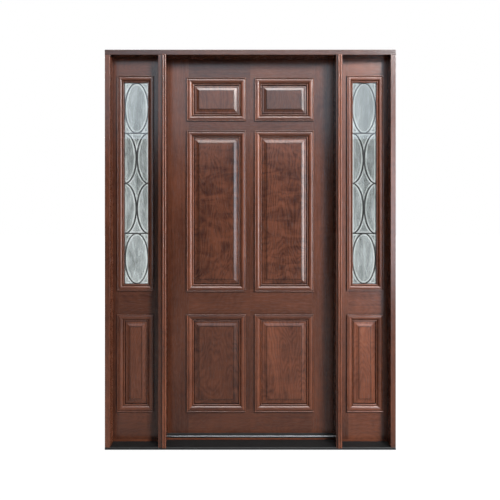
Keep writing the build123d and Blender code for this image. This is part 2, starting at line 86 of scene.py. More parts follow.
class Wiring:
    """Short calls that add a node to a tree and link what feeds it."""

    def __init__(self, tree):
        self.tree = tree

    def add(self, kind, **settings):
        node = self.tree.nodes.new(kind)
        for label, value in settings.items():
            setattr(node, label, value)
        return node

    def feed(self, socket, value):
        if isinstance(value, bpy.types.NodeSocket):
            self.tree.links.new(value, socket)
        else:
            socket.default_value = value

    def noise(self, vector, scale, detail, roughness=0.5, distortion=0.0):
        node = self.add("ShaderNodeTexNoise")
        self.feed(node.inputs["Vector"], vector)
        self.feed(node.inputs["Scale"], scale)
        self.feed(node.inputs["Detail"], detail)
        self.feed(node.inputs["Roughness"], roughness)
        self.feed(node.inputs["Distortion"], distortion)
        return node.outputs["Fac"]

    def stretch(self, vector, scale, move=(0, 0, 0), turn=(0, 0, 0)):
        node = self.add("ShaderNodeMapping")
        self.feed(node.inputs["Vector"], vector)
        self.feed(node.inputs["Scale"], scale)
        self.feed(node.inputs["Location"], move)
        self.feed(node.inputs["Rotation"], turn)
        return node.outputs["Vector"]

    def vector(self, kind, a, b):
        node = self.add("ShaderNodeVectorMath", operation=kind)
        self.feed(node.inputs[0], a)
        self.feed(node.inputs["Scale"] if kind == "SCALE" else node.inputs[1], b)
        return node.outputs["Value"] if kind == "LENGTH" else node.outputs["Vector"]

    def math(self, kind, a, b=0.0):
        node = self.add("ShaderNodeMath", operation=kind)
        self.feed(node.inputs[0], a)
        self.feed(node.inputs[1], b)
        return node.outputs[0]

    def span(self, value, low, high, to_low=0.0, to_high=1.0):
        node = self.add("ShaderNodeMapRange")
        labels = ("Value", "From Min", "From Max", "To Min", "To Max")
        for label, given in zip(labels, (value, low, high, to_low, to_high)):
            self.feed(node.inputs[label], given)
        return node.outputs["Result"]

    def mix(self, share, a, b, kind="MIX"):
        node = self.add("ShaderNodeMix", data_type="RGBA", blend_type=kind)
        self.feed(node.inputs[0], share)
        self.feed(node.inputs[6], a)
        self.feed(node.inputs[7], b)
        return node.outputs[2]

    def split(self, vector):
        node = self.add("ShaderNodeSeparateXYZ")
        self.feed(node.inputs[0], vector)
        return node.outputs

    def join(self, x, y, z):
        node = self.add("ShaderNodeCombineXYZ")
        for socket, value in zip(node.inputs, (x, y, z)):
            self.feed(socket, value)
        return node.outputs[0]

    def raise_skin(self, shader, height, strength, depth):
        node = self.add("ShaderNodeBump")
        self.feed(node.inputs["Strength"], strength)
        self.feed(node.inputs["Distance"], depth)
        self.feed(node.inputs["Height"], height)
        self.feed(shader.inputs["Normal"], node.outputs["Normal"])


def blank_material(name):
    """A material with its wiring, its shader and the object's own coordinates."""
    material = bpy.data.materials.new(name)
    material.use_nodes = True
    w = Wiring(material.node_tree)
    shader = material.node_tree.nodes["Principled BSDF"]
    return material, w, shader, w.add("ShaderNodeTexCoord").outputs["Object"]


def seen_rays(w, glossy_share):
    """1 for camera and transmission rays, a share for glossy rays, 0 for the others."""
    rays = w.add("ShaderNodeLightPath").outputs
    glossy = w.math("MULTIPLY", rays["Is Glossy Ray"], glossy_share)
    either = w.math("MAXIMUM", rays["Is Camera Ray"], glossy)
    return w.math("MAXIMUM", either, rays["Is Transmission Ray"])


world = bpy.data.worlds.new("surround")
world.use_nodes = True
scene.world = world
w = Wiring(world.node_tree)
background = world.node_tree.nodes["Background"]
background.inputs["Color"].default_value = (1, 1, 1, 1)
towards_back = w.split(w.add("ShaderNodeTexCoord").outputs["Generated"])[1]
sky_share = w.span(towards_back, *SURROUND_FADE, STUDIO_DEPTH, 1.0)
w.feed(background.inputs["Strength"], w.span(seen_rays(w, sky_share), 0, 1, SURROUND_LIGHT, 1.0))

floor_corners = [(x, y, 0) for x, y in ((-1, -1), (1, -1), (1, 1), (-1, 1))]
floor_mesh = bpy.data.meshes.new("floor")
floor_mesh.from_pydata((np.array(floor_corners) * FLOOR_REACH).tolist(), [], [(0, 1, 2, 3)])
floor = bpy.data.objects.new("floor", floor_mesh)
scene.collection.objects.link(floor)
floor_paint, w, paint, spot = blank_material("floor_paint")
paint.inputs["Base Color"].default_value = FLOOR_COLOR
paint.inputs["Roughness"].default_value = FLOOR_ROUGHNESS
glow = w.add("ShaderNodeEmission")
glow.inputs["Strength"].default_value = FLOOR_GLOW
reach = w.vector("LENGTH", spot, (0, 0, 0))
floor_share = w.span(w.split(spot)[1], *FLOOR_FADE, STUDIO_DEPTH, 1.0)
whiten = w.span(reach, FLOOR_NEAR, FLOOR_FAR, FLOOR_NEAR_GLOW, 1.0)
blend = w.add("ShaderNodeMixShader")
w.feed(blend.inputs["Fac"], w.math("MULTIPLY", seen_rays(w, floor_share), whiten))
w.feed(blend.inputs[1], paint.outputs[0])
w.feed(blend.inputs[2], glow.outputs[0])
w.feed(floor_paint.node_tree.nodes["Material Output"].inputs["Surface"], blend.outputs[0])
floor_mesh.materials.append(floor_paint)


# Lamps
# A soft key lamp high on the right throws the head's and the posts' shadows on the door. Strips at the
# right and overhead draw the bright lines on the mouldings, two cool panels give the wood its sheen, and
# a lamp behind the unit lights its inner side.
COOL = (0.72, 0.86, 1.0)


def soft_lamp(name, place, target, width, height, power, color=(1, 1, 1), diffuse=True):
    """A rectangular area lamp at a place, turned to a target, that no camera or glass sees."""
    data = bpy.data.lights.new(name, "AREA")
    data.shape = "RECTANGLE"
    data.size = width
    data.size_y = height
    data.energy = power
    data.color = color
    lamp = bpy.data.objects.new(name, data)
    lamp.location = place
    lamp.rotation_euler = (Vector(target) - Vector(place)).to_track_quat("-Z", "Y").to_euler()
    lamp.visible_camera = False
    lamp.visible_transmission = False
    lamp.visible_diffuse = diffuse
    scene.collection.objects.link(lamp)


soft_lamp("key_lamp", (2.8, -3.4, 3.7), (0, 0, 1.0), 1.3, 1.3, 460)
soft_lamp("right_strip", (3.3, -2.6, 1.3), (0, 0, 1.3), 0.7, 2.8, 190, diffuse=False)
soft_lamp("overhead_strip", (0.2, -2.2, 5.0), (0, 0, 1.4), 3.6, 1.2, 380, diffuse=False)
soft_lamp("upper_strip", (0.2, -4.0, 4.45), (0.2, 0, 1.0), 3.6, 0.5, 150, diffuse=False)
soft_lamp("sheen_panel", (0.2, -4.2, 3.2), (0.2, 0, 3.2), 5.0, 2.0, 126, COOL, diffuse=False)
soft_lamp("right_sheen_panel", (2.65, -4.2, 1.3), (2.65, 0, 1.3), 1.6, 2.4, 175, COOL, diffuse=False)
soft_lamp("back_lamp", (-1.8, 4.2, 3.4), (0, 0, 1.0), 2.6, 2.6, 380)


# Head, jambs and posts
# Solid mahogany boards, stained a deep red brown under a satin lacquer and tenoned together. Every
# board carries its own stretch of figure, and shade is painted dark into its corners and grooves.
WOOD_LIGHT = (0.134, 0.0425, 0.0205)
WOOD_DARK = (0.034, 0.0096, 0.0048)
# Paler arrises: worn edges that are also painted highlight lines.
ARRIS_WEAR_AND_HIGHLIGHT = (0.24, 0.125, 0.085, 1)
PORE_DARK = (0.010, 0.004, 0.003, 1)
# Painted shade: the dark colour, reach and limits with which ambient occlusion paints shade into hollows.
PAINTED_SHADE_DARK = (0.008, 0.0035, 0.0025, 1)
PAINTED_SHADE_REACH = 0.0065
PAINTED_SHADE_LIMITS = (0.30, 0.90)
FULL_PAINTED_SHADE = 0.95
ARRIS_REACH = 0.0035
ARRIS_LIMITS = (0.40, 0.85)
SLIGHT_WEAR_AND_HIGHLIGHT = 0.06
AIR_SAMPLES = 12
ARCH_STRETCH = (5.0, 5.0, 1.9)
ARCH_COUNT = 32.0
ARCH_CURVE = 1.3
ARCH_WEIGHT = 0.20
STREAK_STRETCH = (90.0, 90.0, 4.0)
STREAK_WEIGHT = 0.45
STREAK_HEIGHT = 0.35
BAND_STRETCH = (7.0, 7.0, 1.6)
BAND_WEIGHT = 0.60
BAND_DULLNESS = 0.10
RIBBON_STRETCH = (7.0, 7.0, 17.0)
RIBBON_TURN = (0.25, 0.3, 0.0)
RIBBON_WEIGHT = 0.55
QUIET_MOTTLE = 0.4
PORE_STRETCH = (700.0, 700.0, 22.0)
PORE_LIMITS = (0.58, 0.70)
PORE_SHARE = 0.45
PORE_DEPTH = 0.75
PORE_DULLNESS = 0.15
TONE_LIMITS = (0.28, 0.80)
LACQUER_ROUGHNESS = 0.18
LACQUER_SPECULAR = 0.29
GRAIN_STRENGTH = 0.10
GRAIN_DEPTH = 0.0003
GRAIN_TURN = {"z": (0, 0, 0), "x": (0, math.pi / 2, 0)}
BOARD_SHIFT = (2.3, 0.0, 1.7)


def group_tree(name, inputs, outputs):
    """An empty node group with these inputs, as name: (type, value), and outputs, as name: type."""
    tree = bpy.data.node_groups.new(name, "ShaderNodeTree")
    for label, (kind, value) in inputs.items():
        socket = tree.interface.new_socket(label, in_out="INPUT", socket_type=kind)
        socket.default_value = value
    for label, kind in outputs.items():
        tree.interface.new_socket(label, in_out="OUTPUT", socket_type=kind)
    return tree, tree.nodes.new("NodeGroupInput").outputs, tree.nodes.new("NodeGroupOutput").inputs


def mahogany_group():
    """Figure of sawn mahogany whose grain runs along the vector's Z.

    The arches are contour lines of a slow noise that is stretched along the grain. Streaks and broad
    bands run along it too, ribbons run across it, and pores are short dark dashes along it.
    """
    tree, given, result = group_tree(
        "mahogany",
        {
            "Vector": ("NodeSocketVector", (0, 0, 0)),
            "Light": ("NodeSocketColor", (*WOOD_LIGHT, 1)),
            "Dark": ("NodeSocketColor", (*WOOD_DARK, 1)),
            "Figure": ("NodeSocketFloat", 0.5),
            "Mottle": ("NodeSocketFloat", QUIET_MOTTLE),
        },
        {"Color": "NodeSocketColor", "Dullness": "NodeSocketFloat", "Height": "NodeSocketFloat"},
    )
    w = Wiring(tree)
    place = given["Vector"]
    slow = w.noise(w.stretch(place, ARCH_STRETCH), 1.0, 3.0, 0.40, 0.5)
    wave = w.math("FRACT", w.math("MULTIPLY", slow, ARCH_COUNT))
    arches = w.math("ABSOLUTE", w.math("SUBTRACT", wave, 0.5))
    arch_lines = w.math("POWER", w.math("MULTIPLY", arches, 2.0), ARCH_CURVE)
    streaks = w.noise(w.stretch(place, STREAK_STRETCH), 1.0, 4.0, 0.65, 0.3)
    broad = w.noise(w.stretch(place, BAND_STRETCH), 1.0, 3.0, 0.5, 0.4)
    ribbon = w.noise(w.stretch(place, RIBBON_STRETCH, turn=RIBBON_TURN), 1.0, 4.0, 0.55, 1.4)
    pores = w.span(w.noise(w.stretch(place, PORE_STRETCH), 1.0, 1.0), *PORE_LIMITS)
    arch_share = w.math("MULTIPLY", given["Figure"], ARCH_WEIGHT)
    lines = w.math("MULTIPLY", w.math("SUBTRACT", 0.5, arch_lines), arch_share)
    ribbon_share = w.math("MULTIPLY", given["Mottle"], RIBBON_WEIGHT)
    mottle = w.math("MULTIPLY", w.math("SUBTRACT", ribbon, 0.5), ribbon_share)
    streaks_share = w.math("MULTIPLY", streaks, STREAK_WEIGHT)
    tone = w.math("ADD", streaks_share, w.math("MULTIPLY", broad, BAND_WEIGHT))
    tone = w.math("ADD", w.math("ADD", tone, lines), mottle)
    color = w.mix(w.span(tone, *TONE_LIMITS), given["Dark"], given["Light"])
    pore_color = w.mix(PORE_DEPTH, color, PORE_DARK)
    w.feed(result["Color"], w.mix(w.math("MULTIPLY", pores, PORE_SHARE), color, pore_color))
    band_dullness = w.math("MULTIPLY", broad, BAND_DULLNESS)
    dullness = w.math("ADD", band_dullness, w.math("MULTIPLY", pores, PORE_DULLNESS))
    w.feed(result["Dullness"], dullness)
    w.feed(result["Height"], w.math("SUBTRACT", w.math("MULTIPLY", streaks, STREAK_HEIGHT), pores))
    return tree


def painted_light_and_wear_group():
    """Painted shade dark in the hollows, and arrises worn paler and painted with highlight lines.

    Both masks are ambient occlusion over a few millimetres, of the air above and of the wood below.
    """
    tree, given, result = group_tree(
        "painted_light_and_wear",
        {
            "Color": ("NodeSocketColor", (*WOOD_LIGHT, 1)),
            "Painted Shade": ("NodeSocketFloat", FULL_PAINTED_SHADE),
            "Wear And Highlight": ("NodeSocketFloat", SLIGHT_WEAR_AND_HIGHLIGHT),
        },
        {"Color": "NodeSocketColor"},
    )
    w = Wiring(tree)
    # Shade painted dark into the hollows, where little of the air above is open.
    open_air = w.add("ShaderNodeAmbientOcclusion", samples=AIR_SAMPLES)
    open_air.inputs["Distance"].default_value = PAINTED_SHADE_REACH
    hollow_shade = w.span(open_air.outputs["AO"], *PAINTED_SHADE_LIMITS, given["Painted Shade"], 0.0)
    # Arrises painted paler: wear, and painted highlight lines.
    solid_below = w.add("ShaderNodeAmbientOcclusion", samples=AIR_SAMPLES, inside=True)
    solid_below.inputs["Distance"].default_value = ARRIS_REACH
    arris_wear_and_highlight = w.span(solid_below.outputs["AO"], *ARRIS_LIMITS, given["Wear And Highlight"], 0.0)
    w.feed(result["Color"], w.mix(hollow_shade, w.mix(arris_wear_and_highlight, given["Color"], ARRIS_WEAR_AND_HIGHLIGHT), PAINTED_SHADE_DARK))
    return tree


mahogany = mahogany_group()
painted_light_and_wear = painted_light_and_wear_group()


def wood(
    name,
    grain,
    tone,
    figure,
    move,
    mottle=QUIET_MOTTLE,
    right_tone=None,
    painted_shade=FULL_PAINTED_SHADE,
    wear_and_highlight=SLIGHT_WEAR_AND_HIGHLIGHT,
):
    """Mahogany for one board: its grain's axis, how light it is, how figured and where it was cut.

    Right of the unit's middle the figure is another, and so is the tone where a right tone is given.
    """
    material, w, shader, place = blank_material(name)
    is_right = w.math("GREATER_THAN", w.split(place)[0], 0.0)
    shift = w.vector("SCALE", BOARD_SHIFT, is_right)
    figure_node = w.add("ShaderNodeGroup", node_tree=mahogany)
    sawn = w.stretch(w.vector("ADD", place, shift), (1, 1, 1), move, GRAIN_TURN[grain])
    w.feed(figure_node.inputs["Vector"], sawn)
    figure_node.inputs["Figure"].default_value = figure
    figure_node.inputs["Mottle"].default_value = mottle
    figure_node.inputs["Light"].default_value = (*(c * tone for c in WOOD_LIGHT), 1)
    figure_node.inputs["Dark"].default_value = (*(c * tone for c in WOOD_DARK), 1)
    color = figure_node.outputs["Color"]
    if right_tone:
        lift = w.span(is_right, 0, 1, 1.0, right_tone / tone)
        color = w.mix(1.0, color, w.join(lift, lift, lift), "MULTIPLY")
    # Shade painted dark into the hollows, and arrises worn and painted with highlight lines.
    painted_and_worn = w.add("ShaderNodeGroup", node_tree=painted_light_and_wear)
    w.feed(painted_and_worn.inputs["Color"], color)
    painted_and_worn.inputs["Painted Shade"].default_value = painted_shade
    painted_and_worn.inputs["Wear And Highlight"].default_value = wear_and_highlight
    w.feed(shader.inputs["Base Color"], painted_and_worn.outputs["Color"])
    rough = w.math("ADD", figure_node.outputs["Dullness"], LACQUER_ROUGHNESS)
    w.feed(shader.inputs["Roughness"], rough)
    w.raise_skin(shader, figure_node.outputs["Height"], GRAIN_STRENGTH, GRAIN_DEPTH)
    shader.inputs["Specular IOR Level"].default_value = LACQUER_SPECULAR
    return material


def dress(node, material):
    """Gives a CAD node its one material."""
    mesh = nodes[node].data
    mesh.materials.clear()
    mesh.materials.append(material)


dress("head_jamb", wood("head_wood", "x", 0.66, 0.4, (0.0, 0.3, 0.9)))
dress("left_jamb", wood("left_jamb_wood", "z", 1.22, 0.4, (0.4, 0.1, 0.2)))
dress("right_jamb", wood("right_jamb_wood", "z", 0.95, 0.4, (0.9, 0.5, 0.6)))
dress("left_mullion_post", wood("left_post_wood", "z", 0.80, 0.4, (1.3, 0.2, 0.1)))
dress("right_mullion_post", wood("right_post_wood", "z", 0.80, 0.4, (1.7, 0.6, 0.8)))


# Cover strips
# Two reeded strips of a lighter cut of the same wood, pinned down the front of the posts. They cover
# the joint between the door's frame and each sidelight.
# Stronger wear and painted highlight lines on the arrises of the strips and mouldings.
EDGE_WEAR_AND_HIGHLIGHT = 0.2

dress("left_mullion_cover", wood("left_cover_wood", "z", 1.62, 0.3, (0.2, 0.9, 0.4), wear_and_highlight=EDGE_WEAR_AND_HIGHLIGHT))
dress("right_mullion_cover", wood("right_cover_wood", "z", 2.0, 0.3, (0.6, 0.3, 0.7), wear_and_highlight=EDGE_WEAR_AND_HIGHLIGHT))


# Sill and threshold
# A pressed metal sill runs under the whole unit. On it lie boards of the frame's wood, and a rounded
# aluminium bar is screwed down where the door meets them.
SILL_COLOR = (0.0040, 0.0042, 0.0046)
BAR_COLOR = (0.085, 0.085, 0.088)
DUST_COLOR = (0.16, 0.14, 0.125, 1)
DUST_SCALE = 260.0
DUST_LIMITS = (0.45, 0.75)
DUST_DULLNESS = 0.3
DUST_HEIGHT = 0.4
BLOTCH_LIMITS = (0.3, 0.7)
BLOTCH_TONES = (0.75, 1.25)
EVEN_GRAIN = (40, 40, 40)
GLOSS_SPREAD = 0.08
FINISH_STRENGTH = 0.05
FINISH_DEPTH = 0.0003
FINISH_SPECULAR = 0.2


def blotched_group():
    """Slow blotches in the tone and gloss of a color, drawn along one way, and settled dust.

    The blotches are a noise of the vector times the grain, and the dust is a fine noise over a limit.
    """
    tree, given, result = group_tree(
        "blotched",
        {
            "Vector": ("NodeSocketVector", (0, 0, 0)),
            "Grain": ("NodeSocketVector", EVEN_GRAIN),
            "Color": ("NodeSocketColor", (0.1, 0.1, 0.1, 1)),
            "Roughness": ("NodeSocketFloat", 0.4),
            "Spread": ("NodeSocketFloat", GLOSS_SPREAD),
            "Dust": ("NodeSocketFloat", 0.0),
        },
        {"Color": "NodeSocketColor", "Roughness": "NodeSocketFloat", "Height": "NodeSocketFloat"},
    )
    w = Wiring(tree)
    blotch = w.noise(w.vector("MULTIPLY", given["Vector"], given["Grain"]), 1.0, 4.0, 0.6)
    fine = w.noise(given["Vector"], DUST_SCALE, 3.0, 0.6)
    settled = w.math("MULTIPLY", w.span(fine, *DUST_LIMITS), given["Dust"])
    tone = w.span(blotch, 0, 1, *BLOTCH_TONES)
    toned = w.mix(1.0, given["Color"], w.join(tone, tone, tone), "MULTIPLY")
    w.feed(result["Color"], w.mix(settled, toned, DUST_COLOR))
    smooth = w.math("SUBTRACT", given["Roughness"], given["Spread"])
    rough = w.math("ADD", given["Roughness"], given["Spread"])
    blotched_gloss = w.span(blotch, *BLOTCH_LIMITS, smooth, rough)
    dulled = w.math("ADD", blotched_gloss, w.math("MULTIPLY", settled, DUST_DULLNESS))
    w.feed(result["Roughness"], dulled)
    w.feed(result["Height"], w.math("ADD", blotch, w.math("MULTIPLY", fine, DUST_HEIGHT)))
    return tree


blotched = blotched_group()


def plain_finish(
    name, color, roughness, metallic=0.0, spread=GLOSS_SPREAD, grain=EVEN_GRAIN, dust=0.0
):
    """A metal or rubber finish with blotches drawn along its grain, and settled dust."""
    material, w, shader, place = blank_material(name)
    finish = w.add("ShaderNodeGroup", node_tree=blotched)
    w.feed(finish.inputs["Vector"], place)
    own = {"Grain": grain, "Color": (*color, 1), "Roughness": roughness, "Spread": spread, "Dust": dust}
    for label, value in own.items():
        finish.inputs[label].default_value = value
    w.feed(shader.inputs["Base Color"], finish.outputs["Color"])
    w.feed(shader.inputs["Roughness"], finish.outputs["Roughness"])
    w.raise_skin(shader, finish.outputs["Height"], FINISH_STRENGTH, FINISH_DEPTH)
    shader.inputs["Metallic"].default_value = metallic
    shader.inputs["Specular IOR Level"].default_value = FINISH_SPECULAR
    return material


dress("sill_plate", plain_finish("sill_metal", SILL_COLOR, 0.55, dust=0.03))
dress("threshold_boards", wood("threshold_wood", "x", 1.30, 0.4, (0.3, 0.4, 0.2), painted_shade=0.6))
dress("threshold_bar", plain_finish("bar_metal", BAR_COLOR, 0.42, 1.0, 0.16, grain=(1.6, 20, 20)))


# Seals and sweep
# Black compression seals stand in the rabbet in front of the door's edges, and a finned rubber sweep
# is screwed under the door.
SEAL_BLACK = (0.016, 0.015, 0.015)
SWEEP_BLACK = (0.012, 0.011, 0.011)
RUBBER_DUST = 0.2

dress("door_seals", plain_finish("seal_rubber", SEAL_BLACK, 0.62, dust=RUBBER_DUST))
dress("door_sweep", plain_finish("sweep_rubber", SWEEP_BLACK, 0.60, dust=RUBBER_DUST))


# Door stiles and rails
# Two long stiles, four rails and short stiles between them, of quiet straight grain. The rails' grain
# runs across and stops at the stiles, where they are tenoned.
dress("door_hinge_stile", wood("hinge_stile_wood", "z", 0.90, 0.35, (0.1, 0.2, 0.3)))
dress("door_lock_stile", wood("lock_stile_wood", "z", 1.02, 0.35, (0.7, 0.5, 0.1)))
dress("door_mid_stiles", wood("mid_stile_wood", "z", 0.80, 0.40, (1.1, 0.3, 0.5)))
dress("door_bottom_rail", wood("bottom_rail_wood", "x", 0.92, 0.45, (0.2, 0.3, 1.4)))
dress("door_lock_rail", wood("lock_rail_wood", "x", 0.90, 0.45, (0.5, 0.3, 2.2)))
dress("door_frieze_rail", wood("frieze_rail_wood", "x", 0.84, 0.40, (0.9, 0.6, 0.7)))
dress("door_top_rail", wood("top_rail_wood", "x", 0.78, 0.40, (1.4, 0.2, 1.9)))


# Door panels
# Raised panels of broad boards with lively figure, loose in the grooves of the stiles and rails. A steep
# edge, a nearly straight bevel and a small step lift the field, and each board has its own figure.
TONGUE_REACH = 0.008
TONGUE_HALF = 0.01125
STEEP_START = 0.0365
BEVEL_START = 0.0495
FIELD_START = 0.0655
STEP_SLOPE = 0.001
BEVEL_LOW = 0.0145
BEVEL_HIGH = 0.0197
FIELD_HIGH = 0.02125
EDGE_CURVE = 4
BEVEL_BOW = 0.15
CURVE_POINTS = 10
# Painted shade along the foot of each field's step.
STEP_SHADE = 0.75
STEP_SHADE_REACH = 0.0036
# Wear and painted highlight lines on the panels' arrises.
PANEL_WEAR_AND_HIGHLIGHT = 0.15


def panel_profile():
    """The insets from a panel's edge, and how far its face lies there from the panel's middle plane.

    Over a share s of the steep edge the rise is 1 less the fourth power of 1 - s, and over a share s of
    the bevel it is s and a little bow, which is BEVEL_BOW times s less s squared.
    """
    share = np.linspace(0, 1, CURVE_POINTS)
    steep = STEEP_START + (BEVEL_START - STEEP_START) * share
    steep_high = TONGUE_HALF + (BEVEL_LOW - TONGUE_HALF) * (1 - (1 - share) ** EDGE_CURVE)
    bevel = BEVEL_START + (FIELD_START - STEP_SLOPE - BEVEL_START) * share
    bevel_high = BEVEL_LOW + (BEVEL_HIGH - BEVEL_LOW) * (share + BEVEL_BOW * (share - share**2))
    inset = np.concatenate([[0.0], steep, bevel[1:], [FIELD_START]])
    high = np.concatenate([[TONGUE_HALF], steep_high, bevel_high[1:], [FIELD_HIGH]])
    return inset, high


def skin(index, capped=True):
    """Quads between the rows of a grid of point numbers whose columns close round, and two end faces."""
    around = np.roll(index, -1, axis=1)
    quads = np.stack([index[:-1], index[1:], around[1:], around[:-1]], axis=-1).reshape(-1, 4).tolist()
    return [*quads, index[0].tolist(), index[-1, ::-1].tolist()] if capped else quads


def raised_panel(middle, half_x, half_z):
    """A panel raised on both faces: rectangles, each inset and raised by the profile, skinned in order."""
    inset, high = panel_profile()
    inset = np.concatenate([inset[::-1], inset])[:, None]
    y = middle[1] + np.concatenate([-high[::-1], high])[:, None]
    x = middle[0] + np.array([-1, 1, 1, -1]) * (half_x - inset)
    z = middle[2] + np.array([-1, -1, 1, 1]) * (half_z - inset)
    points = np.stack([x, np.broadcast_to(y, x.shape), z], axis=-1)
    return points.reshape(-1, 3), skin(np.arange(x.size).reshape(x.shape))


def add_piece(name, parts, material, body, smooth=False):
    """One mesh of a body, from parts as arrays of points and lists of faces."""
    starts = np.cumsum([0] + [len(points) for points, _ in parts])
    faces = [[corner + start for corner in face] for start, (_, own) in zip(starts, parts) for face in own]
    mesh = bpy.data.meshes.new(name)
    mesh.from_pydata(np.concatenate([points for points, _ in parts]).tolist(), [], faces)
    mesh.materials.append(material)
    if smooth:
        mesh.shade_smooth()
    piece = bpy.data.objects.new(name, mesh)
    scene.collection.objects.link(piece)
    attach(piece, body)
    return piece


def step_shade_group():
    """Shade painted dark at the foot of a raised field.

    A point's inset is the smaller of the half sizes less its distances from the panel's middle, with X
    taken without its sign. The painted shade fades with the distance from the step.
    """
    tree, given, result = group_tree(
        "step_shade",
        {
            "Vector": ("NodeSocketVector", (0, 0, 0)),
            "Middle": ("NodeSocketVector", (0, 0, 0)),
            "Half": ("NodeSocketVector", (1, 1, 1)),
        },
        {"Step Shade": "NodeSocketFloat"},
    )
    w = Wiring(tree)
    away = w.vector("SUBTRACT", w.vector("ABSOLUTE", given["Vector"], (0, 0, 0)), given["Middle"])
    across, _, up = w.split(w.vector("SUBTRACT", given["Half"], w.vector("ABSOLUTE", away, (0, 0, 0))))
    step = w.math("SUBTRACT", w.math("MINIMUM", across, up), FIELD_START - STEP_SLOPE)
    w.feed(result["Step Shade"], w.span(w.math("ABSOLUTE", step), 0, STEP_SHADE_REACH, STEP_SHADE, 0.0))
    return tree


step_shade = step_shade_group()


def fielded(node, piece, middles_x, half_x, material, body):
    """Raised panels of a wood, with shade painted round their fields, that stand for a CAD node's panels.
    """
    low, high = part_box(node)
    middle_y, middle_z = (low.y + high.y) / 2, (low.z + high.z) / 2
    half_z = (high.z - low.z) / 2
    w = Wiring(material.node_tree)
    shader = material.node_tree.nodes["Principled BSDF"]
    edge = w.add("ShaderNodeGroup", node_tree=step_shade)
    w.feed(edge.inputs["Vector"], w.add("ShaderNodeTexCoord").outputs["Object"])
    edge.inputs["Middle"].default_value = (abs(middles_x[0]), 0, middle_z)
    edge.inputs["Half"].default_value = (half_x, 0, half_z)
    color = shader.inputs["Base Color"].links[0].from_socket
    # Painted shade at the foot of each field's step.
    w.feed(shader.inputs["Base Color"], w.mix(edge.outputs["Step Shade"], color, PAINTED_SHADE_DARK))
    panels = [raised_panel((x, middle_y, middle_z), half_x, half_z) for x in middles_x]
    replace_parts(add_piece(piece, panels, material, body), node)


door_panel_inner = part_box("door_mid_stiles")[1].x - TONGUE_REACH
door_panel_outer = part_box("door_lower_panels")[1].x
door_panel_x = (door_panel_inner + door_panel_outer) / 2
door_panel_half = (door_panel_outer - door_panel_inner) / 2
for row, tone, right_tone, figure, mottle, cut in (
    ("lower", 0.90, 1.30, 0.9, 0.7, (0.3, 0.2, 0.9)),
    ("middle", 0.84, 0.96, 1.0, 1.8, (0.8, 0.1, 0.2)),
    ("upper", 0.92, 0.66, 0.8, 0.8, (1.5, 0.4, 0.6)),
):
    boards = wood(row + "_panel_wood", "z", tone, figure, cut, mottle, right_tone, wear_and_highlight=PANEL_WEAR_AND_HIGHLIGHT)
    places = (-door_panel_x, door_panel_x)
    piece = row + "_raised_panels"
    fielded("door_" + row + "_panels", piece, places, door_panel_half, boards, "door")


# Door mouldings
# Bolection mouldings in mitred lengths, glued and pinned over the joint of panel and frame on both
# faces. Shade is painted dark into the quirks beside the beads.
for face, cut in (("front", 0.2), ("back", 0.8)):
    # Painted light: the uprights are painted lighter and the crosses darker, for how the light falls on
    # them.
    uprights = wood(face + "_upright_wood", "z", 1.60, 0.3, (cut, 0.7, 0.1), wear_and_highlight=EDGE_WEAR_AND_HIGHLIGHT)
    crosses = wood(face + "_cross_wood", "x", 0.98, 0.3, (cut, 0.1, 0.6), wear_and_highlight=EDGE_WEAR_AND_HIGHLIGHT)
    dress("door_" + face + "_moulding_uprights", uprights)
    dress("door_" + face + "_moulding_crosses", crosses)


# Sidelight woodwork
# Each sidelight is a narrow fixed panel of the door's own make, held in its rabbet by a stop on the
# inner side. The right one is painted lighter all over, for the brighter light on the unit's right.
for side, cut, stile_tone, rail_tone, panel_tone, moulding_tone in (
    ("left", 1.3, 0.88, 0.92, 1.05, 1.10),
    # Painted light: the right sidelight's tones are lighter, for the brighter light on that side.
    ("right", 1.9, 1.10, 1.28, 1.72, 1.50),
):
    dress(side + "_sidelight_stiles", wood(side + "_stile_wood", "z", stile_tone, 0.4, (cut, 0.2, 0.5)))
    dress(side + "_sidelight_rails", wood(side + "_rail_wood", "x", rail_tone, 0.5, (cut, 0.5, 0.8)))
    low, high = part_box(side + "_sidelight_panel")
    board = wood(side + "_panel_wood", "z", panel_tone, 0.6, (cut, 0.1, 0.3), wear_and_highlight=PANEL_WEAR_AND_HIGHLIGHT)
    place, half = (low.x + high.x) / 2, (high.x - low.x) / 2
    piece = side + "_raised_panel"
    fielded(side + "_sidelight_panel", piece, (place,), half, board, "frame")
    uprights = wood(side + "_upright_wood", "z", moulding_tone, 0.3, (cut, 0.8, 0.0), wear_and_highlight=EDGE_WEAR_AND_HIGHLIGHT)
    crosses = wood(side + "_cross_wood", "x", moulding_tone, 0.3, (cut, 0.4, 0.0), wear_and_highlight=EDGE_WEAR_AND_HIGHLIGHT)
    dress(side + "_sidelight_moulding_uprights", uprights)
    dress(side + "_sidelight_moulding_crosses", crosses)
    dress(side + "_sidelight_stop", wood(side + "_stop_wood", "z", stile_tone, 0.3, (cut, 0.6, 0)))


# Hinges
# Three butt hinges of brushed bronze with loose pins. Each leaf is let in flush and held by four
# countersunk screws with cross recesses.
HINGE_BRONZE = (0.30, 0.25, 0.19)
HINGE_HEIGHT = 0.1016
LEAF_THICKNESS = 0.0024
BRUSHED_GRAIN = (120, 120, 6)
SCREW_TONE = 0.8
SCREW_RADIUS = 0.0042
SCREW_FLAT = 0.95
SCREW_RINGS = 14
SCREW_TURNS = 48
SCREW_PROUD = 0.0004
SCREW_RECESS = 0.0012
RECESS_SHARE = 0.6
RIM_SHARE = 0.4
RECESS_WIDTH = 0.0009
RECESS_REACH = 0.0026
SCREW_ROWS = (-0.038, -0.014, 0.014, 0.038)
SCREW_INSETS = (0.009, 0.021, 0.009, 0.021)


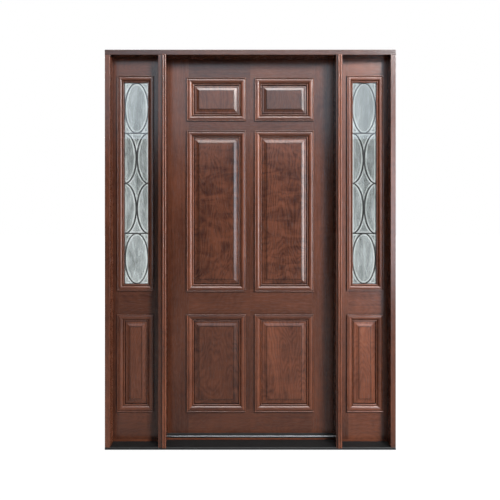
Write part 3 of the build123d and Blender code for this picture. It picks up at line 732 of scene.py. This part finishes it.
def screw_head(centre, facing):
    """A flat screw head that faces along X, with a cross recess.

    The height over a disc of polar rings is the head's, less the recess where one coordinate lies
    within the slot's half width and both within its reach. It drops at the rim, and a ring below the
    leaf's face closes it.
    """
    ring = np.concatenate([np.linspace(0.02, SCREW_FLAT, SCREW_RINGS), [1.0, 1.0]])
    turn = np.linspace(0, 2 * np.pi, SCREW_TURNS, endpoint=False)
    radius, angle = np.meshgrid(ring * SCREW_RADIUS, turn, indexing="ij")
    y, z = radius * np.cos(angle), radius * np.sin(angle)
    narrow = np.minimum(np.abs(y), np.abs(z)) < RECESS_WIDTH / 2
    near = np.maximum(np.abs(y), np.abs(z)) < RECESS_REACH
    height = SCREW_PROUD - (narrow & near) * (SCREW_PROUD + SCREW_RECESS) * RECESS_SHARE
    height[-2] = SCREW_PROUD * RIM_SHARE
    height[-1] = -SCREW_RECESS
    points = np.stack([centre[0] + facing * height, centre[1] + facing * y, centre[2] + z], axis=-1)
    return points.reshape(-1, 3), skin(np.arange(radius.size).reshape(radius.shape))


hinge_metal = plain_finish("hinge_bronze", HINGE_BRONZE, 0.36, 1.0, grain=BRUSHED_GRAIN)
screw_metal = plain_finish("screw_bronze", tuple(c * SCREW_TONE for c in HINGE_BRONZE), 0.42, 1.0)
for leaves, body, facing in (("hinge_frame_leaves", "frame", 1), ("hinge_door_leaves", "door", -1)):
    dress(leaves, hinge_metal)
    low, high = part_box(leaves)
    plate_x = low.x + LEAF_THICKNESS if facing > 0 else high.x - LEAF_THICKNESS
    middles = np.linspace(low.z + HINGE_HEIGHT / 2, high.z - HINGE_HEIGHT / 2, 3)
    screws = [
        screw_head((plate_x, low.y + inset, middle + row), facing)
        for middle in middles
        for row, inset in zip(SCREW_ROWS, SCREW_INSETS)
    ]
    add_piece(body + "_hinge_screws", screws, screw_metal, body)
dress("hinge_pins", plain_finish("pin_bronze", HINGE_BRONZE, 0.30, 1.0, grain=BRUSHED_GRAIN))


# Panes
# Two clear panes close each light, inside and out, with the leaded glass between them. They are float
# glass, bedded under the mouldings.
GLASS_IOR = 1.45
HAZE_STRETCH = (30, 30, 7)
HAZE_LIMITS = (0.3, 0.7)
HAZE_ROUGHNESS = 0.01
PANE_HAZED = (0.955, 0.975, 0.968, 1)
PANE_CLEAR = (0.985, 0.995, 0.992, 1)


def blank_glass(name):
    """A glass material with its wiring, its shader and a haze that drifts down the sheet."""
    material, w, shader, place = blank_material(name)
    shader.inputs["Transmission Weight"].default_value = 1.0
    shader.inputs["IOR"].default_value = GLASS_IOR
    return material, w, shader, place, w.noise(w.stretch(place, HAZE_STRETCH), 1.0, 4.0, 0.6, 0.6)


def float_glass():
    """Clear glass with a breath of haze."""
    material, w, shader, _, haze = blank_glass("clear_glass")
    w.feed(shader.inputs["Base Color"], w.mix(haze, PANE_HAZED, PANE_CLEAR))
    w.feed(shader.inputs["Roughness"], w.span(haze, *HAZE_LIMITS, 0.0, HAZE_ROUGHNESS))
    return material


dress("sidelight_panes", float_glass())


# Leaded lights
# Small glasses with ground bevels, leaded together in a row of ovals and half ovals. The came is a
# drawn lead strip with a rounded face, and a drop of solder closes each crossing.
LEAD_COLOR = (0.010, 0.011, 0.012)
GLASS_PALE = (0.56, 0.60, 0.61, 1)
GLASS_DEEP = (0.10, 0.115, 0.113, 1)
BEVEL_COLOR = (0.97, 1.0, 0.99, 1)
PIECE_SHARE = 0.38
REED_STRETCH = (150, 150, 24)
REED_SHARE = 0.35
CLOUD_LIMITS = (0.36, 0.62)
GROUND_LIMITS = (0.05, 0.30)
OBSCURE_ROUGHNESS = 0.16
GROUND_ROUGHNESS = 0.03
WAVE_SCALE = 22.0
WAVE_STRENGTH = 0.5
WAVE_DEPTH = 0.001
CAME_WIDTH = 0.006
CAME_FACE = 0.003
CAME_CROWN = 0.0008
CAME_TURNS = 16
OVAL_TURNS = 96
OVAL_INSET = 0.002
LIGHT_BAYS = 4
BEVEL_WIDTH = 0.010
GLASS_EDGE = 0.0014
GLASS_FULL = 0.0040
SHEET_ACROSS = 101
SHEET_HIGH = 621
TONE_BAY = 7.0
TONE_SIDE = 3.0
TONE_FIRST_OVAL = 50.0
TONE_OVAL = 11.0
TONE_SCATTER = 4375.85
SOLDER_RADIUS = 0.0048
SOLDER_RISE = 0.0009
SOLDER_RINGS = 4
SOLDER_TURNS = 14
TINY = 1e-6

light_low, light_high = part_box("sidelight_leaded_glass")
light_middle_y = (light_low.y + light_high.y) / 2
light_middle_z = (light_low.z + light_high.z) / 2
light_half_height = (light_high.z - light_low.z) / 2
stile_low, stile_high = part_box("right_sidelight_stiles")
light_x = (stile_low.x + stile_high.x) / 2
light_half_width = light_high.x - light_x
bay = 2 * light_half_height / LIGHT_BAYS
oval_across = light_half_width - OVAL_INSET
oval_high = bay / 2
half_oval_x = oval_across + OVAL_INSET + CAME_WIDTH / 4
end_bay_z = (LIGHT_BAYS - 1) * bay / 2
ovals = [(0.0, way * end_bay_z) for way in (-1, 1)]
ovals += [(side * half_oval_x, way * bay / 2) for side in (-1, 1) for way in (-1, 1)]


def came_distance(x, z):
    """How far points of a light lie from its nearest came line, with x and z from the light's middle.

    The distance from an oval is the change of its implicit value, the root of the sum of the squared
    coordinates over the half axes, divided by that value's slope. The straight lines are the border and
    the two at one bay from the middle.
    """
    border = np.minimum(light_half_width - np.abs(x), light_half_height - np.abs(z)) + CAME_WIDTH / 2
    nearest = np.minimum(border, np.abs(np.abs(z) - bay))
    for centre_x, centre_z in ovals:
        across = (x - centre_x) / oval_across
        high = (z - centre_z) / oval_high
        value = np.maximum(np.hypot(across, high), TINY)
        slope = np.hypot(across / oval_across, high / oval_high) / value
        own_bay = np.abs(z - centre_z) <= oval_high
        gap = np.abs(value - 1) / np.maximum(slope, TINY)
        nearest = np.where(own_bay, np.minimum(nearest, gap), nearest)
    return nearest


def glass_tone(x, z):
    """A tone from 0 to 1 for each small glass, by the bay, the side and the oval that a point lies in.

    The tone is the fraction left when the sine of the glass's number is multiplied by a large number.
    """
    number = np.floor((z + light_half_height) / bay) * TONE_BAY + (x > 0) * TONE_SIDE
    for count, (centre_x, centre_z) in enumerate(ovals):
        within = np.hypot((x - centre_x) / oval_across, (z - centre_z) / oval_high) < 1
        number = np.where(within, TONE_FIRST_OVAL + TONE_OVAL * count, number)
    return np.mod(np.sin(number) * TONE_SCATTER, 1.0)


def bevelled_sheet(centre_x):
    """The small glasses of a light as one closed sheet, with its bevel share and its tones.

    The front is a grid whose height is the glass's thickness: thin under the came, and rising in
    proportion to the distance from it until the bevel ends. The back is flat.
    """
    x, z = np.meshgrid(
        np.linspace(-light_half_width, light_half_width, SHEET_ACROSS),
        np.linspace(-light_half_height, light_half_height, SHEET_HIGH),
        indexing="ij",
    )
    rise = np.clip((came_distance(x, z) - CAME_WIDTH / 2) / BEVEL_WIDTH, 0, 1)
    front = light_middle_y - GLASS_FULL / 2 + (1 - rise) * (GLASS_FULL - GLASS_EDGE)
    points = np.stack([x + centre_x, front, z + light_middle_z], axis=-1).reshape(-1, 3)
    index = np.arange(x.size).reshape(x.shape)
    corners = [index[:-1, :-1], index[1:, :-1], index[1:, 1:], index[:-1, 1:]]
    faces = np.stack(corners, axis=-1).reshape(-1, 4)
    rim = np.concatenate([index[:-1, 0], index[-1, :-1], index[:0:-1, -1], index[0, :0:-1]])
    back = points[rim].copy()
    back[:, 1] = light_middle_y + GLASS_FULL / 2
    behind = len(points) + np.arange(len(rim))
    walls = np.stack([rim, behind, np.roll(behind, -1), np.roll(rim, -1)], axis=-1)
    faces = [*faces.tolist(), *walls.tolist(), behind[::-1].tolist()]
    bevel = np.concatenate([1 - rise.ravel(), np.zeros(len(rim))])
    tone = np.concatenate([glass_tone(x, z).ravel(), np.zeros(len(rim))])
    return np.concatenate([points, back]), faces, {"bevel": bevel, "tone": tone}


def came_strip(path, closed, centre):
    """A rounded strip of came along a path of (x, z) points, on both faces of the light.

    Across the path each face is half an ellipse that stands at the came's face, and flat sides join the
    two through the glass.
    """
    ahead = np.roll(path, -1, axis=0) - np.roll(path, 1, axis=0)
    if not closed:
        ahead[0] = path[1] - path[0]
        ahead[-1] = path[-1] - path[-2]
    ahead /= np.linalg.norm(ahead, axis=1, keepdims=True)
    sideways = np.stack([-ahead[:, 1], ahead[:, 0]], axis=1)
    turn = np.linspace(0, 2 * np.pi, CAME_TURNS, endpoint=False)
    offset = CAME_WIDTH / 2 * np.cos(turn)
    out = np.sign(np.sin(turn)) * CAME_FACE + CAME_CROWN * np.sin(turn)
    out[np.abs(np.sin(turn)) < TINY] = 0
    ring = path[:, None, :] + sideways[:, None, :] * offset[None, :, None]
    points = np.stack([ring[..., 0], np.broadcast_to(out, ring.shape[:2]), ring[..., 1]], axis=-1) + centre
    index = np.arange(ring[..., 0].size).reshape(ring.shape[:2])[:, ::-1]
    if closed:
        index = np.concatenate([index, index[:1]])
    return points.reshape(-1, 3), skin(index, capped=not closed)


def solder_drop(x, z, centre):
    """A low round drop of solder on both faces: rings of a half ellipse of revolution."""
    rise = np.linspace(0, np.pi / 2, SOLDER_RINGS, endpoint=False)
    turn = np.linspace(0, 2 * np.pi, SOLDER_TURNS, endpoint=False)
    rise, turn = np.meshgrid(rise, turn, indexing="ij")
    radius = SOLDER_RADIUS * np.cos(rise)
    height = CAME_FACE + SOLDER_RISE * np.sin(rise)
    ring_x, ring_z = x + radius * np.cos(turn), z + radius * np.sin(turn)
    near, far = (np.stack([ring_x, way * height, ring_z], axis=-1) for way in (-1, 1))
    points = np.concatenate([near[::-1].reshape(-1, 3), far.reshape(-1, 3)]) + centre
    index = np.arange(len(points)).reshape(2 * SOLDER_RINGS, SOLDER_TURNS)
    return points, skin(index[:, ::-1])


def light_came(centre_x):
    """All the came and solder of one light, as parts."""
    centre = np.array([centre_x, light_middle_y, light_middle_z])
    whole_turn = np.linspace(0, 2 * np.pi, OVAL_TURNS, endpoint=False)
    half_turn = np.linspace(-np.pi / 2, np.pi / 2, OVAL_TURNS // 2 + 1)
    parts = []
    for oval_x, oval_z in ovals:
        turn = whole_turn if oval_x == 0 else half_turn + (np.pi if oval_x > 0 else 0)
        path = np.stack([oval_x + oval_across * np.cos(turn), oval_z + oval_high * np.sin(turn)], axis=1)
        parts.append(came_strip(path, oval_x == 0, centre))
    reach = light_half_width + CAME_WIDTH / 4
    for z in (-bay, bay):
        parts.append(came_strip(np.array([(-reach, z), (0, z), (reach, z)]), False, centre))
    parts += [solder_drop(0, way * share * bay, centre) for way in (-1, 1) for share in (0.5, 1, 2)]
    return parts


def bevelled_glass():
    """Obscure grey glass, each piece of its own tone, with clear ground bevels."""
    material, w, shader, place, haze = blank_glass("leaded_glass")
    tone = w.add("ShaderNodeAttribute", attribute_name="tone").outputs["Fac"]
    bevel = w.add("ShaderNodeAttribute", attribute_name="bevel").outputs["Fac"]
    reeds = w.noise(w.stretch(place, REED_STRETCH), 1.0, 3.0, 0.6, 0.4)
    haze_part = w.math("MULTIPLY", haze, 1 - REED_SHARE)
    cloud = w.math("ADD", haze_part, w.math("MULTIPLY", reeds, REED_SHARE))
    cloud_part = w.math("MULTIPLY", w.span(cloud, *CLOUD_LIMITS), 1 - PIECE_SHARE)
    shade = w.math("ADD", w.math("MULTIPLY", tone, PIECE_SHARE), cloud_part)
    ground = w.span(bevel, *GROUND_LIMITS)
    w.feed(shader.inputs["Base Color"], w.mix(ground, w.mix(shade, GLASS_DEEP, GLASS_PALE), BEVEL_COLOR))
    w.feed(shader.inputs["Roughness"], w.span(ground, 0, 1, OBSCURE_ROUGHNESS, GROUND_ROUGHNESS))
    w.raise_skin(shader, w.noise(place, WAVE_SCALE, 2.0, 0.5, 0.3), WAVE_STRENGTH, WAVE_DEPTH)
    return material


leaded_glass = bevelled_glass()
drawn_lead = plain_finish("drawn_lead", LEAD_COLOR, 0.50, grain=(60, 60, 60))
dress("sidelight_cames", drawn_lead)
for side, centre_x in (("left", -light_x), ("right", light_x)):
    points, faces, shares = bevelled_sheet(centre_x)
    sheet = add_piece(side + "_bevelled_glasses", [(points, faces)], leaded_glass, "frame")
    for label, values in shares.items():
        sheet.data.attributes.new(label, "FLOAT", "POINT").data.foreach_set("value", values)
    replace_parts(sheet, "sidelight_leaded_glass")
    add_piece(side + "_drawn_came", light_came(centre_x), drawn_lead, "frame", smooth=True)
